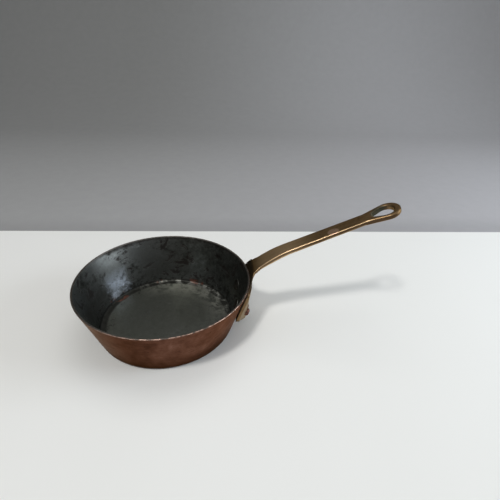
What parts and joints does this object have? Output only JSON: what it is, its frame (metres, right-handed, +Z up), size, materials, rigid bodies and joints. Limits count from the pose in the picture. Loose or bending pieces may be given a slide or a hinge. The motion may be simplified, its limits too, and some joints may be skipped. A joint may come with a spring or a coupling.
{
  "type": "saucepan",
  "caption": "Splayed copper saucepan, tinned inside, with a long cast handle riveted to the wall and ending in a hanging loop.",
  "frame": {"origin": "centre of the flat base, on the pan's own axis, at the height of the surface it stands on", "axes": "+Z up along the pan's axis, +X level and along the handle, away from the pan, +Y to the left of the handle"},
  "size_m": [0.3976, 0.2196, 0.1696],
  "materials": {
    "copper": "old copper with a brown-red patina, bright where the rim is worn",
    "tin": "worn, dark grey wiped tin with scuffs and stains",
    "cast_brass": "brown-golden cast brass, satin, darker near the pan",
    "rivet_copper": "dark reddish hammered copper"
  },
  "bodies": {
    "root": {"copper_pan": "copper", "tin_lining": "tin", "cast_handle": "cast_brass", "rivet_near": "rivet_copper", "rivet_far": "rivet_copper", "rivet_low": "rivet_copper"}
  },
  "joints": []
}
